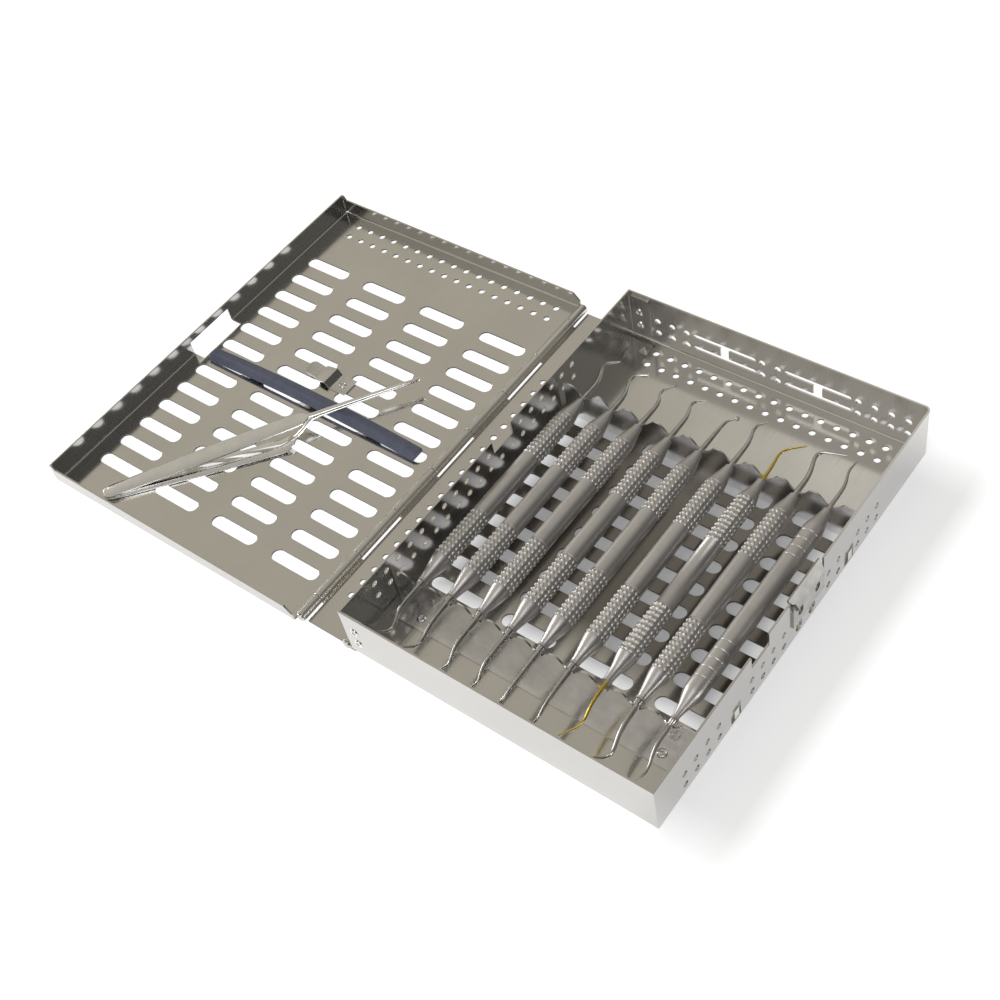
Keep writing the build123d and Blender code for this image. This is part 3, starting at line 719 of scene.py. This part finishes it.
def ball(name, place, radius):
    """A small ball, turned as rings about an axis along Y."""
    steps = 12
    outline = [(place.y - radius * math.cos(math.pi * i / steps), radius * math.sin(math.pi * i / steps))
               for i in range(1, steps)]
    return skin(name, turned_rings(outline, place.x, place.z, 20))


# %% [markdown]
# ### The eighteen tips
#
# Each tip is described as a maker would: how far the bar runs before its first bend, where the second
# bend sits and where the tip ends, always as (sideways, outward, upward) from the handle in
# millimetres, then its shape. The routes repeat those of the CAD solids, so the two agree.

# %% Tips
point, blade, probe = (1.0, 1.0), (0.75, 1.5), (0.9, 0.9)
front_tips = {
    1: ((0, 14.5, 0), (4.0, 23.8, -1.0), (-2.4, 27.4, -1.6), blade, None),
    2: ((0.4, 12.8, 0), (2.8, 23.8, -0.8), (-2.8, 27.6, -1.0), blade, None),
    3: ((0.3, 16.5, 0), (3.4, 24.0, -0.5), (1.2, 27.6, -1.5), point, None),
    4: ((0.2, 17.8, 0), (3.2, 24.8, -0.5), (1.0, 27.8, -1.4), point, None),
    5: ((0.5, 18.5, 0), (0.6, 26.0, -0.4), (-0.2, 27.8, -1.6), point, None),
    6: ((0.7, 18.5, 0), (1.8, 24.5, -0.4), (1.2, 27.8, -1.6), blade, None),
    7: ((0.4, 10.0, 0), (2.6, 19.0, -0.5), (-2.7, 26.8, -1.2), blade, None),
    8: ((0.8, 13.3, 0), (4.0, 24.6, -0.8), (-3.4, 28.2, -1.2), blade, None),
    9: ((0.3, 12.8, 0), (3.3, 22.0, -0.6), (2.2, 27.8, 0.8), point, None),
}
rear_tips = {
    1: ((0.2, 13.4, 0), (-3.8, 22.4, 0.6), (2.8, 26.6, 1.2), blade, None),
    2: ((0, 12.2, 0), (-3.8, 22.8, 0.6), (2.8, 25.8, 1.2), probe, "condenser"),
    3: ((0.4, 15.6, 0), (-2.8, 21.4, 0.4), (1.6, 26.0, 1.4), probe, "small ball"),
    4: ((0, 15.6, 0), (-2.6, 22.3, 0.5), (2.8, 25.3, 1.2), blade, None),
    5: ((0.4, 19.0, 0), (1.8, 21.4, 0.4), (4.2, 23.2, 0.8), probe, "ball"),
    6: ((0, 15.6, 0), (-2.3, 23.4, 0.5), (1.5, 27.4, 1.4), point, None),
    7: ((-0.3, 9.0, 0), (-1.4, 17.6, 0.4), (6.9, 23.8, 1.2), blade, None),
    8: ((0, 12.2, 0), (-3.4, 23.9, 0.8), (8.4, 27.0, 1.6), point, None),
    9: ((-0.1, 14.5, 0), (-2.6, 21.2, 0.5), (-1.6, 27.0, 1.2), point, None),
}


def working_end(number, side, tip):
    """One bent bar with its tool, from the handle's end outward; side is front or back."""
    out, start_y = (-1, front_y) if side == "front" else (1, rear_y)
    x = instrument_x[number]
    *bends, section, tool = tip
    start = Vector((x, start_y + out * 0.06 * MM, axis_z))
    route = [start] + [Vector((x + s * MM, start_y + out * d * MM, axis_z + u * MM)) for s, d, u in bends]
    slim = {7: 0.62, 9: 0.8}.get(number, 1.0)
    end_radius = 0.45 * MM if tool else 0.24 * MM
    radii = [(0, 1.25 * MM * slim), (0.30, 1.05 * MM * slim), (0.55, 0.86 * MM * slim),
             (0.78, 0.66 * MM * slim), (0.94, 0.44 * MM), (1, end_radius)]
    name = f"scaler_{number}_{side}_end"
    parts = [bent_bar(name, route, radii, section)]
    if tool == "ball":
        parts.append(ball(name + "_tool", route[-1], 1.05 * MM))
    elif tool == "small ball":
        parts.append(ball(name + "_tool", route[-1], 0.7 * MM))
    elif tool == "condenser":
        last = (route[-1] - route[-2]).normalized()
        parts.append(bent_bar(name + "_tool", [route[-1] - last * 3.2 * MM, route[-1]],
                              [(0, 0.95 * MM), (1, 0.95 * MM)], sides=24))
    if side == "front" and number != 7:
        sleeve = [(start_y - 3.0 * MM, 1.28 * MM * slim), (start_y - 2.8 * MM, 1.5 * MM * slim),
                  (start_y - 0.2 * MM, 1.72 * MM * slim), (start_y - 0.08 * MM, 1.6 * MM * slim)]
        parts.append(skin(name + "_sleeve", turned_rings(sleeve, x, axis_z, 32)))
    finish, slot = (gold_finish, "end_gold") if number == 7 else (end_finish, "end_steel")
    for part in parts:
        part.data.materials.append(finish)
    whole = join(name, parts) if len(parts) > 1 else parts[0]
    return settle(whole, f"instrument_{number}", finish, slot, f"instrument_{number}_{side}_end")


for number in numbers:
    working_end(number, "front", front_tips[number])
    working_end(number, "back", rear_tips[number])
print("tips made:", len(front_tips) + len(rear_tips))

# %% [markdown]
# ## Dressing pliers
#
# The pliers are two stamped arms welded at one end. Each is a broad plate with rolled edges that
# narrows at a shoulder into a slim beak. A row of rounded rectangles along the arm says all of that,
# and a small bevel lets the chrome draw a line of light down every edge.

# %% Pliers
arm_end = Vector((-222.5, -97.5, 0)) * MM
arm_run = Vector((-136.2, 24.4, 0)) * MM - arm_end
along = arm_run.normalized()
across = Vector((along.y, -along.x, 0))
beak_end = arm_run.length / MM


def arm(name, rows, body, node):
    """A skin through rounded rectangles at (distance, aside, half width, underside, thickness) in mm."""
    sections = []
    for row in rows:
        distance_out, aside, half, low, thick = (value * MM for value in row)
        middle = arm_end + along * distance_out + across * aside
        lift = min(thick * 0.32, half * 0.5)
        outline = [(-half, low + lift), (-half + lift, low), (half - lift, low), (half, low + lift),
                   (half, low + thick - lift), (half - lift * 1.6, low + thick),
                   (-half + lift * 1.6, low + thick), (-half, low + thick - lift)]
        sections.append([middle + across * side + Vector((0, 0, height)) for side, height in outline])
    piece = skin(name, sections, 50)
    rounding = piece.modifiers.new("edge_rounding", "BEVEL")
    rounding.width = 0.12 * MM
    rounding.segments = 2
    rounding.limit_method = "ANGLE"
    rounding.angle_limit = math.radians(35)
    return settle(piece, body, chrome_finish, "pliers_chrome", node)


arm("pliers_lower", [
    (0.0, 0, 2.1, 1.10, 1.0), (0.8, 0.05, 2.8, 1.10, 1.0), (3.5, 0.3, 3.55, 1.10, 1.0),
    (47, 3.9, 4.6, 1.10, 1.0), (81.0, 6.95, 4.15, 1.10, 1.0), (84.4, 7.1, 3.95, 2.05, 0.98),
    (86.4, 7.0, 3.2, 2.65, 0.97), (87.6, 6.55, 2.0, 3.0, 0.96), (88.8, 5.9, 1.35, 3.4, 0.95),
    (92, 4.2, 1.25, 4.4, 0.9), (95.5, 2.3, 1.2, 5.45, 0.87), (98, 1.0, 1.2, 6.2, 0.86),
    (101, 0.6, 1.15, 6.45, 0.85), (120, 0.3, 1.0, 6.45, 0.85),
    (beak_end - 1.2, 0, 0.8, 6.45, 0.85), (beak_end, 0, 0.45, 6.5, 0.7),
], "pliers", "pliers_lower_arm")
arm("pliers_upper", [
    (0.0, 0, 2.1, 2.30, 1.0), (0.8, 0, 2.8, 2.34, 1.0), (3.5, 0, 3.55, 2.48, 1.0),
    (51.9, 0, 4.6, 4.94, 1.0), (91, 0, 4.1, 6.93, 1.0), (93.2, 0, 3.9, 7.04, 1.0),
    (94.5, 0, 3.2, 7.10, 1.0), (95.7, 0, 2.0, 7.16, 0.98), (97, 0, 1.35, 7.22, 0.95),
    (102.4, 0, 1.25, 7.45, 0.85), (120, 0, 1.05, 7.43, 0.85),
    (beak_end - 1.2, 0, 0.8, 7.40, 0.8), (beak_end, 0, 0.45, 7.42, 0.7),
], "pliers_upper", "pliers_upper_arm")

# %% [markdown]
# ## Silicone strip
#
# The strip is an extrusion with a ridge along its top, sprung into a low arch by a leaf spring. It is
# a skin along that arch. Silicone has no sharp edges, so a bevel rounds them all.

# %% Silicone strip
strip_low, strip_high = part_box("retaining_strip")
strip_middle = (strip_low + strip_high) / 2
strip_half = (strip_high.x - strip_low.x) / 2
strip_height = 3.3 * MM
arch_rise = strip_high.z - strip_low.z - strip_height
arch_bow = 0.9 * MM
profile = [(-3.5, 0.15), (-3.35, 0), (3.35, 0), (3.5, 0.15), (3.5, 1.9), (3.1, 2.45), (-0.5, 3.3),
           (-1.3, 3.2), (-3.4, 1.0)]
sections = []
stretches = 48
for i in range(stretches + 1):
    t = 2 * i / stretches - 1
    lift = 1 - t * t
    sections.append([
        Vector((strip_middle.x + t * strip_half, strip_middle.y + side * MM + arch_bow * (lift - 0.5),
                strip_low.z + arch_rise * lift + height * MM))
        for side, height in profile
    ])
strip = skin("silicone_strip", sections, 20)
softening = strip.modifiers.new("soft_edges", "BEVEL")
softening.width = 0.22 * MM
softening.segments = 3
softening.limit_method = "ANGLE"
softening.angle_limit = math.radians(15)
strip.data.shade_smooth()
settle(strip, "lid", silicone_finish, "silicone", "retaining_strip")
print("strip", round(2 * strip_half / MM, 1), "mm long, arch", round(arch_rise / MM, 2), "mm")

# %% [markdown]
# ## Rivets
#
# The tabs, the racks and the clip are held by semi-tubular rivets: a domed ring with a punched
# hollow in its middle. One head is turned, and a tree sets a copy on every point of a small mesh,
# turned to face the way that the point's own attribute says.

# %% Rivet tree
def rivet_head(radius, height, hollow):
    """A turned head about Z: a domed rim round a shallow hollow, closed underneath."""
    outline = [(radius * 0.96, -0.25), (radius, 0.1), (radius * 0.93, 0.55), (radius * 0.76, 0.9),
               (radius * 0.58, 1.0), (hollow * 1.12, 0.92), (hollow, 0.7), (hollow * 0.92, 0.12),
               (hollow * 0.5, 0.05)]
    sides = 28
    rings = [[Vector((r * math.cos(a), r * math.sin(a), z * height))
              for a in (2 * math.pi * k / sides for k in range(sides))] for r, z in outline]
    head = skin("rivet_head", rings, 60)
    scene.collection.objects.unlink(head)
    return head


def rivet_tree():
    """A rivet head on every point of a mesh, turned to the way that the point faces."""
    tree, given, result = new_geometry_tree("rivets_on_points", [
        ("Head", "Object", None), ("Material", "Material", None),
    ])
    head = add(tree, "GeometryNodeObjectInfo", {"Object": given["Head"]})
    facing = add(tree, "GeometryNodeInputNamedAttribute", {"Name": "facing"}, data_type="FLOAT_VECTOR")
    turned = add(tree, "FunctionNodeAlignRotationToVector", {"Vector": facing.outputs[0]}, axis="Z")
    placed = add(tree, "GeometryNodeInstanceOnPoints", {
        "Points": given["Geometry"], "Instance": head.outputs["Geometry"], "Rotation": turned.outputs[0]})
    solid = add(tree, "GeometryNodeRealizeInstances", {"Geometry": placed.outputs[0]})
    painted = add(tree, "GeometryNodeSetMaterial", {"Geometry": solid.outputs[0],
                                                    "Material": given["Material"]})
    tree.links.new(painted.outputs[0], result["Geometry"])
    return tree


def rivets(name, spots, radius, height, body, node):
    """Rivets at (place, facing) pairs, as one plain mesh that stands for a CAD node."""
    mesh = bpy.data.meshes.new(name)
    mesh.from_pydata([place for place, _ in spots], [], [])
    facing = mesh.attributes.new("facing", "FLOAT_VECTOR", "POINT")
    for entry, (_, way) in zip(facing.data, spots):
        entry.vector = way
    piece = bpy.data.objects.new(name, mesh)
    scene.collection.objects.link(piece)
    head = rivet_head(radius, height, radius * 0.4)
    apply_tree(piece, riveting, {"Head": head, "Material": rivet_finish})
    bpy.data.objects.remove(head)
    print(name, len(spots), "heads,", len(piece.data.polygons), "faces")
    return settle(piece, body, rivet_finish, "rivet_steel", node)


riveting = rivet_tree()
tray_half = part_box("hinge_side_wall")[1].y + sheet + 0.05 * MM
corner_low, corner_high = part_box("corner_rivets")
head_radius = 2.1 * MM
corner_x = (corner_low.x + corner_high.x) / 2
corner_spots = []
for z in (corner_low.z + head_radius, corner_high.z - head_radius):
    for side in (-1, 1):
        outside = Vector((corner_x, side * tray_half, z))
        inside = Vector((corner_x, side * (tray_half - 2 * sheet - 0.05 * MM), z))
        corner_spots += [(outside, (0, side, 0)), (inside, (0, -side, 0))]
rivets("corner_rivet_heads", corner_spots, head_radius, 0.62 * MM, "tray", "corner_rivets")

rack_low, rack_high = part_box("rack_rivets")
rack_spots = [
    (Vector((x, y, 2 * sheet)), (0, 0, 1))
    for x in (rack_low.x + head_radius, rack_high.x - head_radius)
    for y in (rack_low.y + head_radius, rack_high.y - head_radius)
]
rivets("rack_rivet_heads", rack_spots, head_radius, 0.68 * MM, "tray", "rack_rivets")

clip_low, clip_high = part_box("clip_rivet")
clip_middle = (clip_low + clip_high) / 2
clip_spot = [(Vector((clip_middle.x, clip_middle.y, sheet + 0.6 * MM)), (0, 0, 1))]
rivets("clip_rivet_head", clip_spot, 1.9 * MM, 0.6 * MM, "lid", "clip_rivet")
